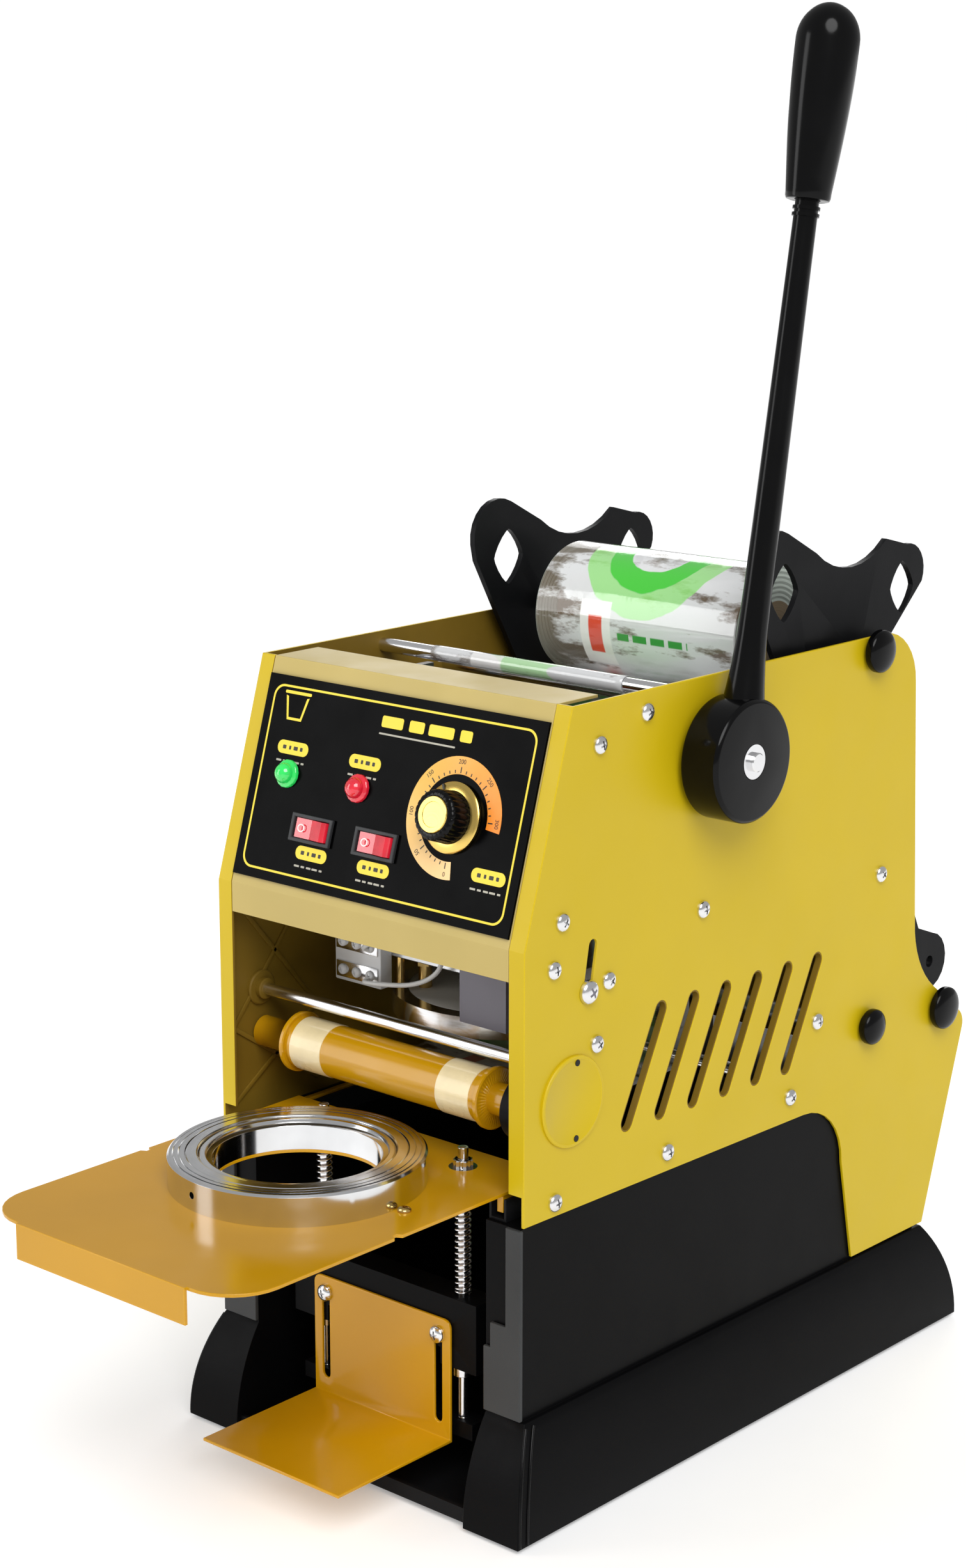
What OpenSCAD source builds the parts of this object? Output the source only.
// Manual cup sealing machine with a pull-out cup drawer.
// Millimetres, +Z up. The origin is on the ground, under the middle of the whole outline.
// Inside the modules X is measured from the machine's middle plane and Y back from the front plane of
// the side plates; placed() shifts both to the origin.

/* [Body] */
// Width across the two side plates
body_w = 190; // [188:1:194]
// Height of the top edge of the side plates
body_top = 374; // [372:1:378]
// Thickness of the sheet metal
sheet_t = 1.5; // [1.2:0.1:1.8]
// Width of the folded flange on the front edge of a side plate
flange_w = 9; // [7:0.5:10]

/* [Base] */
// Width of the base at the ground
base_w = 212; // [208:1:216]
// Length of the base at the ground
base_l = 352; // [350:1:356]
// Height of the crease above the flared skirt
crease_z = 54; // [50:1:54]

/* [Drawer] */
// Width of the tray
tray_w = 160; // [156:1:160]
// Outer diameter of the cup ring set
ring_d = 116; // [112:1:118]
// Height of the cup rings
ring_h = 14.5; // [12:0.5:14.5]
// Diameter of the hole that takes the cup
cup_d = 76; // [74:1:78]

/* [Lever] */
// Distance from the pivot to the tip of the grip
lever_len = 337; // [320:1:345]
// Backward tilt of the raised lever
lever_tilt = 10.5; // [8:0.5:12]
// Diameter of the lever hub
hub_d = 57; // [54:1:60]
// Radius of the cranks that drive the head
crank_r = 24; // [23.5:0.1:24.2]

/* [Film] */
// Width of the sealing film
film_w = 124; // [118:1:124]
// Diameter of a nearly full film roll
roll_d = 66; // [50:1:66]

/* [Hidden] */
$fn = 64;

plate_x = body_w / 2 - sheet_t;       // inner face of a side plate
inner_x = plate_x - 0.3;              // reach of a piece that stops just short of the plate

// Slanted control face: from the bend up to the top edge
bend_z = body_top - 103;
face_top_y = 31;
face_tilt = atan(face_top_y / (body_top - bend_z));
band_z = bend_z - 14.5;               // lower edge of the control box
lamp_x = [-62, -17];
lamp_s = 53;                          // distances down the slanted face
switch_x = [-40, 0];
switch_s = 76;
rocker_tilt = 10;
knob_at = [42, 57];
panel_t = 1.2;

// Base pods
foot_z = 2;                           // lower edge of the skirts
pod_in = 73;                          // inner face of a pod
pod_out = body_w / 2 - sheet_t - 0.3; // outer wall of a pod, behind the side plate
pod_top = 145;
pod_wall = 2.5;
base_front = -16;
base_back = base_front + base_l;
crease_x = body_w / 2 + 0.8;
crease_back = base_back - 20;
column_back = 312;

// Lever, cranks and head
pivot = [131, 336.5];                 // depth and height
hub_x = [body_w / 2 + 2.5, body_w / 2 + 23];
lever_x = (hub_x[0] + hub_x[1]) / 2;
grip_r = 14.4;
crank_a = 37.5;                       // crank angle above the horizontal with the lever raised
pin = [pivot[0] - crank_r * cos(crank_a), pivot[1] + crank_r * sin(crank_a)];
pin_r = 4;
shaft_r = 8;
head_y = 96;
pillar_x = 46;
pillar_r = 6;
fit = 0.05;                           // radial running clearance

// Drawer
tray_z = 157.8;                       // top of the tray
tray_front = -160;
tray_back = 36;
ring_y = -44;
cup_r = cup_d / 2;
rod_at = [44, 17];                    // lifter rods: half spacing and depth
rod_r = 2.5;
rest_w = 87;
rest_z = 25;
rest_slot_x = 36;
rest_screw_z = 77;
rail_z = [145.2, 155.8];
runner_x = [76, 79.5];

// Film path: depth, height, radius
take_up = [26, 190.5];
roll_at = [222, 376];
top_front = [112, 367, 3.5];
top_rear = [158, 352, 4];
low_rear = [158, 177.6, 4];
low_front = [38, 176.1, 2.5];
bay_rod = [24.5, 212.5, 3];
rear_rod = [329, 193, 5];
bracket_x = [84, 87];
sensor_slot = [[42.3, 244.5], [46, 265]];

// Side plate
arch_r = 34;
lobe = [341.5, 157];                  // rounded rear lobe
lobe_r = 9;

// ---- helpers ----
function arc(c, r, a0, a1, n = 8) =
    [for (i = [0:n]) let (a = a0 + (a1 - a0) * i / n) [c[0] + r * cos(a), c[1] + r * sin(a)]];
function heading(a, b) = atan2(b[1] - a[1], b[0] - a[0]);
function stadium(a, b, r) =
    let (h = heading(a, b)) concat(arc(b, r, h - 90, h + 90), arc(a, r, h + 90, h + 270));
function flare_r(run, rise) = (run * run + rise * rise) / (2 * run);

// ---- placing ----
// Middle of the whole outline: grip to skirt across, tray flange to rear lobe along
mid_x = (lever_x + grip_r - base_w / 2) / 2;
mid_y = (tray_front - sheet_t + lobe[0] + lobe_r) / 2;
module placed() { translate([-mid_x, -mid_y, 0]) children(); }
module block(x, y, z) {
    translate([x[0], y[0], z[0]]) cube([x[1] - x[0], y[1] - y[0], z[1] - z[0]]);
}
module rod_x(r, x, y, z) {
    translate([x[0], y, z]) rotate([0, 90, 0]) cylinder(r = r, h = x[1] - x[0]);
}
module rod_y(r, x, y, z) {
    translate([x, y[1], z]) rotate([90, 0, 0]) cylinder(r = r, h = y[1] - y[0]);
}
module rod_z(r, x, y, z) {
    translate([x, y, z[0]]) cylinder(r = r, h = z[1] - z[0]);
}
// Outline in depth and height, swept across the width
module sweep_x(x) { translate([x[0], 0, 0]) rotate([90, 0, 90]) linear_extrude(x[1] - x[0]) children(); }
// Outline in width and height, swept along the depth
module sweep_y(y) { translate([0, y[1], 0]) rotate([90, 0, 0]) linear_extrude(y[1] - y[0]) children(); }
module both_sides() {
    children();
    mirror([1, 0, 0]) children();
}
// On the slanted control face: x across, s down the face, +Z out of it
module on_face(x, s) {
    translate([0, face_top_y, body_top]) rotate([90 - face_tilt, 0, 0]) translate([x, -s, 0]) children();
}

// ---- base ----
// Flared skirt of the right pod, pulled in by d
module pod_skirt(d) {
    rise = crease_z - foot_z;
    side_r = flare_r(base_w / 2 - crease_x, rise);
    front_r = flare_r(-base_front, rise);
    back_r = flare_r(base_back - crease_back, rise);
    low = d > 0 ? foot_z - 1 : foot_z;
    mid = (base_front + base_back) / 2;
    intersection() {
        sweep_y([base_front - 1, base_back + 1]) intersection() {
            translate([pod_in + d, low]) square([base_w / 2 - pod_in, crease_z - d - low]);
            translate([base_w / 2 - side_r, foot_z]) circle(side_r - d);
        }
        sweep_x([pod_in, base_w / 2 + 1]) union() {
            intersection() {
                translate([base_front - 1, low]) square([mid - base_front - 40, crease_z - d - low]);
                translate([base_front + front_r, foot_z]) circle(front_r - d);
            }
            translate([30, low]) square([crease_back - 60, crease_z - d - low]);
            intersection() {
                translate([mid + 40, low]) square([base_back + 1 - mid - 40, crease_z - d - low]);
                translate([base_back - back_r, foot_z]) circle(back_r - d);
            }
        }
    }
}
module pod() {
    difference() {
        union() {
            pod_skirt(0);
            block([pod_in, pod_out], [0, column_back], [crease_z - 10, pod_top]);
        }
        pod_skirt(pod_wall);
        block([pod_in + pod_wall, pod_out - pod_wall], [pod_wall, column_back - pod_wall],
            [crease_z - 12, pod_top - pod_wall]);
    }
}
module base_pod_left() { color("#1c1d1f") placed() mirror([1, 0, 0]) pod(); }
module base_pod_right() { color("#1c1d1f") placed() pod(); }

module column_trims() {
    color("#454749") placed() both_sides() sweep_y([-2, 0])
        polygon([[86, pod_top], [pod_out + 1.5, pod_top], [pod_out + 1.5, crease_z + 1],
            [pod_in, crease_z + 1], [pod_in, 86], [77, 86], [77, 98], [86, 98]]);
}

module base_plate() {
    x = pod_in - 0.2;
    color("#202224") placed() {
        block([-x, x], [base_front + 3, column_back - 1], [3, 5]);
        block([-x, x], [base_front + 3, base_front + 5], [5, 10]);
    }
}

module rubber_feet() {
    color("#111111") placed() both_sides() for (y = [8, 292])
        rod_z(9, 62, y, [0, 3]);
}

module component_shelf() {
    x = pod_in - 0.4;
    color("#26282a") placed() difference() {
        union() {
            block([-x, x], [186, 309], [141, 142.5]);
            block([-x, x], [307.5, 309], [6, 141.5]);
        }
        block([21, 49], [306, 310], [61, 83]);
    }
}

// ---- frame ----
plate_outline = concat(
    [[0, 146], [0, bend_z], [face_top_y, body_top]],
    arc([267.5, body_top - 28], 28, 90, 0),
    [[301, 241]],
    arc([350.6, 222], 48.6, 180, 233),
    arc(lobe, lobe_r, 52, -17, 6),
    [[318, crease_z + 1.2], [254, crease_z + 1.2]],
    arc([209, 109], arch_r, 0, 90));
vent_pitch = 24.4;
vent_r = 4.3;
vents = [for (i = [0:5]) let (y = 71 + i * vent_pitch, z = 176 - i * 0.8)
    stadium([y, z], [y + 24, z + 48], vent_r)];

module side_plate(holes = []) {
    difference() {
        union() {
            sweep_x([plate_x, body_w / 2]) polygon(plate_outline);
            sweep_x([body_w / 2 - flange_w, body_w / 2])
                polygon([[0, 160], [0, bend_z], [face_top_y, body_top], [face_top_y + 1.6, body_top],
                    [sheet_t, bend_z - 0.2], [sheet_t, 160]]);
        }
        for (h = holes) sweep_x([plate_x - 1, body_w / 2 + 1]) polygon(h);
        rod_x(11, [plate_x - 1, body_w / 2 + 1], pivot[0], pivot[1]);
    }
}
module side_plate_left() { color("#e6c72d") placed() mirror([1, 0, 0]) side_plate(); }
// The vents and the sensor's slot are on the right side only
module side_plate_right() {
    color("#e6c72d") placed() side_plate(concat(vents, [stadium(sensor_slot[0], sensor_slot[1], 2.8)]));
}

box_x = body_w / 2 - flange_w - 0.2;
module control_holes(depth) {
    for (x = lamp_x) on_face(x, lamp_s) translate([0, 0, -depth]) cylinder(r = 4.2, h = 2 * depth);
    for (x = switch_x) on_face(x, switch_s) translate([-11.7, -5.6, -depth]) cube([23.4, 11.2, 2 * depth]);
    on_face(knob_at[0], knob_at[1]) translate([0, 0, -depth]) cylinder(r = 5.2, h = 2 * depth);
}
module control_box() {
    n = [cos(face_tilt), -sin(face_tilt)] * sheet_t;
    slope = face_top_y / (body_top - bend_z);
    top_in = body_top - sheet_t;
    color("#d9c06a") placed() difference() {
        sweep_x([-box_x, box_x]) polygon([
            [59, body_top], [face_top_y, body_top], [0, bend_z], [0, band_z], [14, band_z],
            [14, band_z + sheet_t], [sheet_t, band_z + sheet_t],
            [sheet_t, bend_z + n[1] + (sheet_t - n[0]) / slope],
            [n[0] + (top_in - bend_z - n[1]) * slope, top_in], [59, top_in]]);
        control_holes(6);
    }
}

module panel_sheet() {
    color("#0b0b0c") placed() difference() {
        on_face(0, 0) translate([-box_x + 0.6, -103.2, 0]) cube([2 * box_x - 1.2, 95, panel_t]);
        control_holes(6);
    }
}

module rear_cover() {
    color("#e6c72d") placed() difference() {
        block([-inner_x, inner_x], [290, 291.5], [150, 343]);
        both_sides() block([bracket_x[0] - 0.6, inner_x + 1], [288, 293], [174, 256]);
        for (z = [270:12:318]) sweep_y([288, 293]) polygon(stadium([-45, z], [45, z], 2.5));
    }
}

module guide_plate() {
    color("#8d9094") placed() difference() {
        block([-inner_x, inner_x], [70, 150], [262, 268]);
        both_sides() rod_z(9, pillar_x, head_y, [261, 269]);
    }
}

module frame_ties() {
    color("#9a9da0") placed() for (p = [[269, 253], [217.5, 189]])
        rod_x(5, [-plate_x, plate_x], p[0], p[1]);
}

screw_at = [[81.5, 364], [49, 354.5], [24.5, 280], [19, 259.5], [56.5, 246.5], [48.5, 219], [124.5, 265],
    [269, 253], [217.5, 189], [196.5, 155.5], [100.5, 154], [20.5, 152.5]];
screw_profile = concat([[0, 0], [4.2, 0], [4.2, 0.9]], arc([1.6, 0.3], 2.6, 10, 90, 5), [[0, 2.9]]);
module screw_head() { rotate([0, 90, 0]) rotate_extrude() polygon(screw_profile); }
module side_screws() {
    color("#d5d7d9") placed() both_sides() for (p = screw_at)
        translate([body_w / 2, p[0], p[1]]) screw_head();
}

module take_up_cover() {
    color("#e6c72d") placed() rod_x(21, [body_w / 2, body_w / 2 + 1.4], 32, 196.5);
}

knob_spots = [[258, 367, 10.5], [261, 176.5, 9], [326.5, 171, 11]];
module thumb_knob(r) {
    rotate([0, 90, 0]) rotate_extrude()
        polygon(concat([[0, 0], [r * 0.72, 0], [r, 2.5]], arc([r - 3.5, 5.5], 3.5, 0, 90, 5), [[0, 8.4]]));
}
module thumb_knobs() {
    color("#141415") placed() both_sides() for (k = knob_spots)
        translate([body_w / 2, k[0], k[1]]) thumb_knob(k[2]);
}

// ---- control face ----
module lamp() {
    rotate_extrude() polygon(concat([[0, -18], [4, -18], [4, panel_t], [6.5, panel_t], [6.5, 3], [5.2, 3.2]],
        arc([0, 3.2], 5, 0, 90, 8)));
}
module lamp_green() { color("#18c04a") placed() on_face(lamp_x[0], lamp_s) lamp(); }
module lamp_red() { color("#c01828") placed() on_face(lamp_x[1], lamp_s) lamp(); }

module switch_housings() {
    color("#55585c") placed() for (x = switch_x) on_face(x, switch_s) difference() {
        union() {
            translate([-12.8, -6.5, panel_t]) cube([25.6, 13, 1.8]);
            translate([-11.5, -5.4, -18]) cube([23, 10.8, 20]);
        }
        translate([-10.9, -4.8, -8]) cube([21.8, 9.6, 14]);
    }
}

module rocker() {
    rise = 11.5 * tan(rocker_tilt);
    translate([0, 0, -1]) rotate([0, -rocker_tilt, 0]) rotate([90, 0, 0]) linear_extrude(9, center = true)
        intersection() {
            circle(10.5);
            polygon([[-11.5, -4], [11.5, -4], [11.5, 3 + rise], [0, 3], [-11.5, 3 + rise]]);
        }
}
module rocker_heater() { color("#c3202c") placed() on_face(switch_x[0], switch_s) rocker(); }
module rocker_feed() { color("#c3202c") placed() on_face(switch_x[1], switch_s) rocker(); }

module temperature_knob() {
    color("#17171a") placed() on_face(knob_at[0], knob_at[1]) rotate_extrude()
        polygon([[0, -12], [3, -12], [3, 1.5], [16, 1.5], [16, 3.5], [12, 4.5], [11.4, 14], [10.4, 15],
            [8.2, 15], [8.2, 15.8], [0, 15.8]]);
}
module temperature_controller() {
    color("#2c2e30") placed() on_face(knob_at[0], knob_at[1]) difference() {
        union() {
            translate([-22, -22, -34]) cube([44, 44, 30]);
            translate([0, 0, -5]) cylinder(r = 5, h = 5 + panel_t);
        }
        translate([0, 0, -14]) cylinder(r = 3 + fit, h = 20);
    }
}

// ---- electrics ----
module transformer() {
    color("#4a4d50") placed() difference() {
        union() {
            block([-58, 2], [208, 258], [142.5, 181]);
            block([-46, -10], [200, 266], [149, 174]);
        }
        for (x = [-53, -3]) rod_z(2, x, 213, [140, 190]);
    }
}
module power_inlet() {
    color("#17181a") placed() difference() {
        union() {
            block([19, 51], [309, 312], [58, 86]);
            block([21.3, 48.7], [288, 309], [61.3, 82.7]);
        }
        block([24, 46], [295, 313], [64, 80]);
    }
}

// ---- lever ----
module lever_shaft() {
    color("#c9ccd0") placed() {
        rod_x(shaft_r, [-body_w / 2 - 3, hub_x[1]], pivot[0], pivot[1]);
        rod_x(4.4, [hub_x[1], hub_x[1] + 2.6], pivot[0], pivot[1]);
    }
}
module lever_hub() {
    r = hub_d / 2;
    w = hub_x[1] - hub_x[0];
    color("#141416") placed() translate([hub_x[0], pivot[0], pivot[1]]) rotate([0, 90, 0]) rotate_extrude()
        polygon([[shaft_r, 0], [r - 1, 0], [r, 1], [r, w - 1.5], [r - 1.5, w], [shaft_r, w]]);
}
module along_lever() {
    translate([lever_x, pivot[0], pivot[1]]) rotate([-lever_tilt, 0, 0]) children();
}
grip_from = lever_len - 87;
module lever_arm() {
    color("#101011") placed() difference() {
        along_lever() union() {
            translate([0, 0, 20]) cylinder(r1 = 8.6, r2 = 6.7, h = 36);
            translate([0, 0, 50]) cylinder(r1 = 7, r2 = 5.3, h = grip_from + 12 - 50);
        }
        rod_x(hub_d / 2, [hub_x[0] - 5, hub_x[1] + 5], pivot[0], pivot[1]);
    }
}
module lever_grip() {
    r = grip_r;
    color("#0d0d0e") placed() along_lever() rotate_extrude()
        polygon(concat([[0, grip_from + 12], [5.7, grip_from + 12], [5.7, grip_from], [9.8, grip_from]],
            arc([9.8, grip_from + 2], 2, -80, 0, 4), arc([0, lever_len - r], r, 4, 90, 12)));
}
module lever_cranks() {
    color("#8a8d91") placed() both_sides() {
        difference() {
            sweep_x([76, 84]) union() {
                circle_at(pivot, 13);
                circle_at(pin, 7.5);
                h = heading(pivot, pin);
                translate(pivot) rotate(h) polygon([[0, -11], [0, 11], [crank_r, 7], [crank_r, -7]]);
            }
            rod_x(shaft_r, [75, 85], pivot[0], pivot[1]);
        }
        rod_x(pin_r, [67.5, 77], pin[0], pin[1]);
    }
}
module circle_at(p, r) { translate(p) circle(r); }

module bronze_bushes() {
    color("#b98a45") placed() both_sides() {
        difference() {
            union() {
                rod_x(11, [plate_x - 5, body_w / 2 + 1.5], pivot[0], pivot[1]);
                rod_x(15, [plate_x - 2.5, plate_x], pivot[0], pivot[1]);
            }
            rod_x(shaft_r + fit, [plate_x - 6, body_w / 2 + 3], pivot[0], pivot[1]);
        }
        difference() {
            union() {
                rod_z(9, pillar_x, head_y, [254, 275]);
                rod_z(12, pillar_x, head_y, [268, 271]);
            }
            rod_z(pillar_r + fit, pillar_x, head_y, [253, 276]);
        }
    }
}

// ---- sealing head ----
head_plate_z = [232, 240];
yoke_z = [322, 330];
module head_plate() {
    color("#b8bbbe") placed() block([-62, 62], [56, 136], head_plate_z);
}
module guide_pillars() {
    color("#d0d3d6") placed() both_sides() rod_z(pillar_r, pillar_x, head_y, [head_plate_z[1], yoke_z[1]]);
}
module tube(r0, r1, z) {
    rotate_extrude() polygon([[r0, z[0]], [r1, z[0]], [r1, z[1]], [r0, z[1]]]);
}
module return_springs() {
    color("#a9adb2") placed() both_sides() translate([pillar_x, head_y, 0]) tube(7, 9.2, [275.5, 321.5]);
}
module head_yoke() {
    color("#85888c") placed() {
        difference() {
            block([-69, 69], [88, 104], yoke_z);
            both_sides() rod_z(pillar_r, pillar_x, head_y, [yoke_z[0] - 1, yoke_z[1] + 1]);
        }
        both_sides() sweep_x([68.5, 72.5]) difference() {
            translate([88, yoke_z[0]]) square([33, 360 - yoke_z[0]]);
            polygon(stadium([pivot[0] - crank_r - 0.5, pin[1]], [pin[0] + 0.5, pin[1]], pin_r + 0.6));
        }
    }
}
module insulation_plate() {
    color("#e8e6df") placed() rod_z(46, 0, head_y, [212, 216]);
}
module heater_block() {
    color("#c4c7c9") placed() rod_z(50, 0, head_y, [204.5, 212]);
}
module cutter_ring() {
    color("#cfd2d5") placed() translate([0, head_y, 0]) rotate_extrude()
        polygon([[51.5, 203.5], [52.5, 203.5], [54, 206], [54, 216], [46.3, 216], [46.3, 213], [50.6, 213],
            [50.6, 206]]);
}
module brass_posts() {
    color("#c8a24a") placed() for (a = [45:90:315]) {
        rod_z(3.2, 38 * cos(a), head_y + 38 * sin(a), [216, head_plate_z[0]]);
        rod_z(2.2, 50 * cos(a), head_y + 50 * sin(a), [216, head_plate_z[0]]);
    }
}
module terminal_box() {
    color("#eceded") placed() block([-66, -36], [48, 56], [217, 243]);
}

// ---- film path ----
// Saddle plate with a tall front horn and a lower rear horn
bracket_outline = concat(
    [[207, 338], [187, 372], [170, 402]],
    arc([187, 413], 19, 188, 62, 8),
    arc([248, 455], 47, 232, 309, 8),
    arc([297, 400], 14, 96, -25, 8),
    [[283, 370], [280, 338]]);
function rhomb(c, a, b) = [for (i = [0:19]) let (t = 360 * i / 20)
    [c[0] + a * sign(cos(t)) * pow(abs(cos(t)), 1.5), c[1] + b * sign(sin(t)) * pow(abs(sin(t)), 1.5)]];
module film_brackets() {
    color("#191b1d") placed() both_sides() {
        difference() {
            sweep_x(bracket_x) polygon(bracket_outline);
            sweep_x([bracket_x[0] - 1, bracket_x[1] + 1]) polygon(rhomb([194, 402], 11, 14));
            sweep_x([bracket_x[0] - 1, bracket_x[1] + 1]) polygon(rhomb([292, 393], 10, 13));
        }
        for (p = [[258, 362], [216, 350]]) rod_x(5, [bracket_x[1], plate_x], p[0], p[1]);
        rod_x(5, [film_w / 2 - 6, bracket_x[0]], roll_at[0], roll_at[1]);
    }
}
module film_core() {
    h = film_w / 2;
    color("#b59a72") placed() translate([0, roll_at[0], roll_at[1]]) rotate([0, 90, 0]) {
        tube(14, 16, [-h, h]);
        for (z = [[-h, 8 - h], [h - 8, h]]) tube(5 + fit, 14, z);
    }
}
module film_roll() {
    color("#cfe8d2") placed() translate([0, roll_at[0], roll_at[1]]) rotate([0, 90, 0])
        tube(16, roll_d / 2, [-film_w / 2, film_w / 2]);
}
web_t = 0.3;
web_gap = 0.25;                       // film to rod
// Ribbon of thickness t on the right of a path
function ribbon(p, t) = let (n = len(p) - 1) concat(p, [for (i = [n:-1:0])
    let (h = heading(p[max(i - 1, 0)], p[min(i + 1, n)])) p[i] + t * [sin(h), -cos(h)]]);
// Points around a rod; the film is inside the path where it turns clockwise
function wrap(rod, a0, a1) =
    arc([rod[0], rod[1]], rod[2] + web_gap + (a1 < a0 ? web_t : 0), a0, a1, 6);
film_path = concat([[213.4, 343.4]], wrap(top_front, 75, 262), wrap(top_rear, 82, 0), wrap(low_rear, 0, -90),
    wrap(low_front, -90, -150), [[34.3, 177]]);
module film_web() {
    color("#dfe9ee") placed() sweep_x([3 - film_w / 2, film_w / 2 - 3]) polygon(ribbon(film_path, web_t));
}
module guide_rods() {
    color("#d9dcdf") placed() {
        for (p = [top_front, top_rear, low_rear, low_front, bay_rod])
            rod_x(p[2], [-plate_x, plate_x], p[0], p[1]);
        rod_x(rear_rod[2], [-bracket_x[0], bracket_x[0]], rear_rod[0], rear_rod[1]);
    }
}
module rear_brackets() {
    color("#2b2d30") placed() both_sides() {
        difference() {
            sweep_x(bracket_x) polygon(concat([[282, 250], [300, 250], [318, 213]],
                arc([rear_rod[0], rear_rod[1]], 15, 80, -110, 10), [[282, 182]]));
            rod_x(3, [bracket_x[0] - 1, bracket_x[1] + 1], rear_rod[0], rear_rod[1]);
        }
        for (z = [190, 242]) rod_x(4, [bracket_x[1], plate_x], 288, z);
    }
}
module take_up_roller() {
    left = 6 - film_w / 2 - 10;
    right = film_w / 2 - 8;
    color("#d7a51c") placed() {
        for (s = [[7.5, -plate_x + 0.4, left - 2.5], [14.5, left - 2.5, left], [12.5, left, right],
            [14.5, right, right + 2.5], [7.5, right + 2.5, 66], [3, 66, 76]])
            rod_x(s[0], [s[1], s[2]], take_up[0], take_up[1]);
    }
}
module take_up_motor() {
    color("#26282a") placed() difference() {
        union() {
            rod_x(15, [71, plate_x], take_up[0], take_up[1]);
            rod_x(6, [68.5, 71], take_up[0], take_up[1]);
        }
        rod_x(3 + fit, [68, 78], take_up[0], take_up[1]);
    }
}
module film_sensor() {
    a = sensor_slot[0];
    color("#8b8492") placed() {
        block([24, 52], [37, 50], [217, 250]);
        block([52, plate_x - 0.2], [38.3, 46.3], [a[1] - 4, a[1] + 4]);
        rod_x(2, [plate_x - 0.2, body_w / 2 + 0.2], a[0], a[1]);
        translate([body_w / 2 + 0.2, a[0], a[1]]) scale(1.2) screw_head();
    }
}

// ---- drawer ----
tray_outline = let (w = tray_w / 2, r = 25) concat(
    arc([w - r, tray_front + r], r, -90, 0),
    [[w, ring_y - 22], [w - 2.5, ring_y - 20.5], [w - 2.5, ring_y - 18.5], [w, ring_y - 17]],
    [[w, tray_back], [-w, tray_back]],
    [[-w, ring_y - 17], [2.5 - w, ring_y - 18.5], [2.5 - w, ring_y - 20.5], [-w, ring_y - 22]],
    arc([r - w, tray_front + r], r, 180, 270));
module tray_plate() {
    w = tray_w / 2;
    under = tray_z - sheet_t;
    color("#d4a528") placed() {
        difference() {
            translate([0, 0, under]) linear_extrude(sheet_t) polygon(tray_outline);
            rod_z(cup_r, 0, ring_y, [under - 1, tray_z + 1]);
            both_sides() rod_z(rod_r, rod_at[0], rod_at[1], [under - 1, tray_z + 1]);
        }
        block([27 - w, w - 27], [tray_front - sheet_t, tray_front], [tray_z - 16.5, tray_z]);
        both_sides() block(runner_x, [4, 116], [148.3, under]);
    }
}
module tray_rails() {
    color("#26282a") placed() both_sides() {
        x0 = runner_x[0] - 2.8;
        x1 = runner_x[1] + 3.5;
        block([x0, x1], [2, 258], [rail_z[0], rail_z[0] + 1.2]);
        block([x0, x0 + 1.2], [2, 258], rail_z);
        block([x1 - 1.2, x1], [2, 258], rail_z);
    }
}
module ring_profile(points) {
    translate([0, ring_y, tray_z]) rotate_extrude() polygon(points);
}
outer_in = cup_r + 12;
middle_in = cup_r + 6.2;
module ring_outer() {
    r = ring_d / 2;
    color("#d3d6d8") placed() difference() {
        ring_profile([[outer_in, 0], [r, 0], [r, ring_h - 1.2], [r - 1, ring_h - 0.2],
            [r - 2.4, ring_h - 0.2], [r - 2.4, ring_h - 1], [r - 3, ring_h - 1], [r - 3, ring_h],
            [r - 5, ring_h], [r - 5, ring_h - 0.9], [r - 5.6, ring_h - 0.9], [r - 5.6, ring_h],
            [outer_in, ring_h]]);
        translate([0, ring_y, tray_z + 7]) rotate([90, 0, -7]) cylinder(r = 1.6, h = 80);
    }
}
module ring_middle() {
    color("#d9dbdc") placed()
        ring_profile([[middle_in, 0], [outer_in - 0.2, 0], [outer_in - 0.2, ring_h - 0.6],
            [outer_in - 0.8, ring_h], [middle_in + 0.6, ring_h], [middle_in, ring_h - 0.6]]);
}
module ring_inner() {
    color("#dfe1e2") placed()
        ring_profile([[cup_r, 0], [middle_in - 0.2, 0], [middle_in - 0.2, ring_h - 1.4],
            [middle_in - 1, ring_h - 0.8], [cup_r + 3, ring_h - 0.8], [cup_r + 2.6, ring_h - 2.4],
            [cup_r, ring_h - 3]]);
}
module ring_screws() {
    color("#cda43a") placed() for (a = [3, 183])
        translate([(ring_d / 2 + 4) * cos(a), ring_y + (ring_d / 2 + 4) * sin(a), tray_z])
            cylinder(r = 3, h = 2.6);
}
module lifter_guides() {
    color("#c9ccce") placed() {
        both_sides() {
            rod_z(rod_r, rod_at[0], rod_at[1], [36, 167]);
            difference() {
                translate([rod_at[0], rod_at[1], 0]) {
                    translate([0, 0, tray_z]) cylinder(r = 4.6, h = 3.6, $fn = 6);
                    translate([0, 0, tray_z - sheet_t - 3.6]) cylinder(r = 4.6, h = 3.6, $fn = 6);
                    translate([0, 0, 57]) cylinder(r = 5, h = 4.6);
                }
                rod_z(rod_r, rod_at[0], rod_at[1], [50, 168]);
            }
        }
        block([-54, 54], [rod_at[1] - 5, rod_at[1] + 5], [28, 36]);
    }
}
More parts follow.
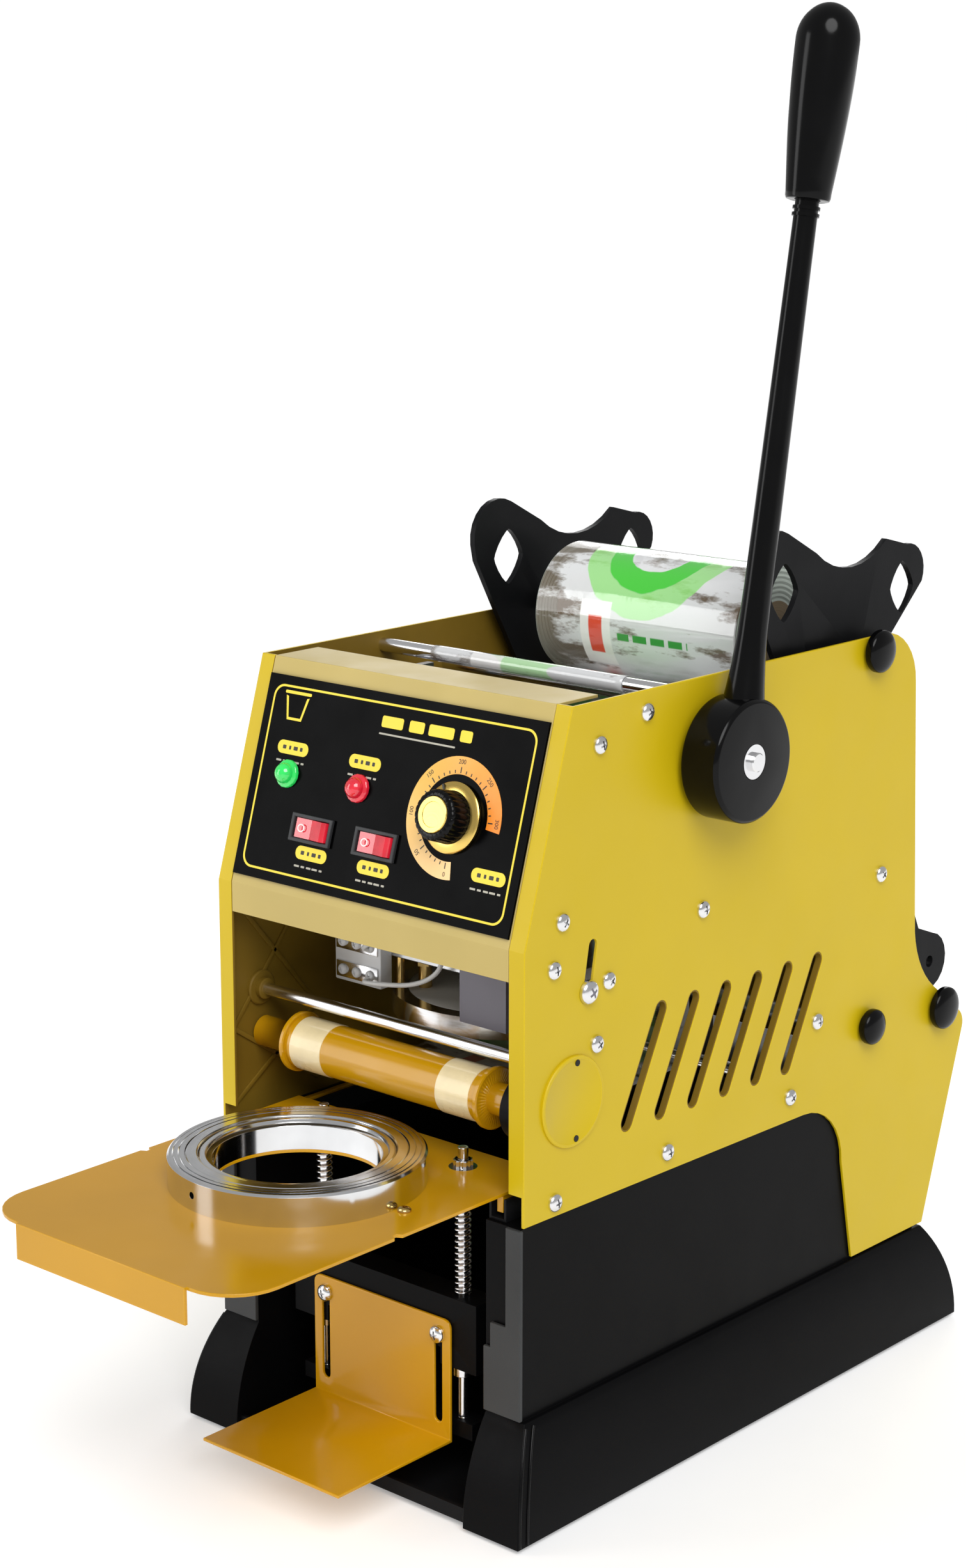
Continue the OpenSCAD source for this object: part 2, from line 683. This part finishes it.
module lifter_springs() {
    color("#b7babd") placed() both_sides() translate([rod_at[0], rod_at[1], 0])
        tube(rod_r + 0.5, rod_r + 1.6, [96.4, tray_z - sheet_t - 3.8]);
}
module lifter_bar() {
    color("#3a3c3f") placed() difference() {
        union() {
            block([-58, 58], [10.1, 25], [70, 96]);
            both_sides() block([36, 58], [10.1, 25], [62, 71]);
        }
        both_sides() {
            rod_z(rod_r + fit, rod_at[0], rod_at[1], [60, 100]);
            rod_y(2, rest_slot_x, [9, 19], rest_screw_z);
        }
    }
}
module rest_screws() {
    color("#d5d7d9") placed() both_sides() {
        rod_y(2, rest_slot_x, [8.4, 19], rest_screw_z);
        translate([rest_slot_x, 8.4, rest_screw_z]) rotate([0, 0, -90]) screw_head();
    }
}
module cup_rest() {
    w = rest_w / 2;
    color("#c89b1e") placed() {
        sweep_y([8.5, 10]) difference() {
            polygon(concat([[-w, rest_z], [w, rest_z]], arc([w - 4, 81], 4, 0, 90, 4),
                arc([4 - w, 81], 4, 90, 180, 4)));
            for (x = [-rest_slot_x, rest_slot_x]) polygon(stadium([x, 36], [x, rest_screw_z + 0.3], 2.4));
        }
        block([-w, w], [-65, 8.6], [rest_z, rest_z + sheet_t]);
    }
}

// ---- assembly ----
base_pod_left();
base_pod_right();
column_trims();
base_plate();
rubber_feet();
component_shelf();
side_plate_left();
side_plate_right();
control_box();
panel_sheet();
rear_cover();
guide_plate();
frame_ties();
side_screws();
take_up_cover();
thumb_knobs();
lamp_green();
lamp_red();
switch_housings();
rocker_heater();
rocker_feed();
temperature_knob();
temperature_controller();
transformer();
power_inlet();
lever_shaft();
lever_hub();
lever_arm();
lever_grip();
lever_cranks();
bronze_bushes();
head_plate();
guide_pillars();
return_springs();
head_yoke();
insulation_plate();
heater_block();
cutter_ring();
brass_posts();
terminal_box();
film_brackets();
film_core();
film_roll();
film_web();
guide_rods();
rear_brackets();
take_up_roller();
take_up_motor();
film_sensor();
tray_plate();
tray_rails();
ring_outer();
ring_middle();
ring_inner();
ring_screws();
lifter_guides();
lifter_springs();
lifter_bar();
rest_screws();
cup_rest();
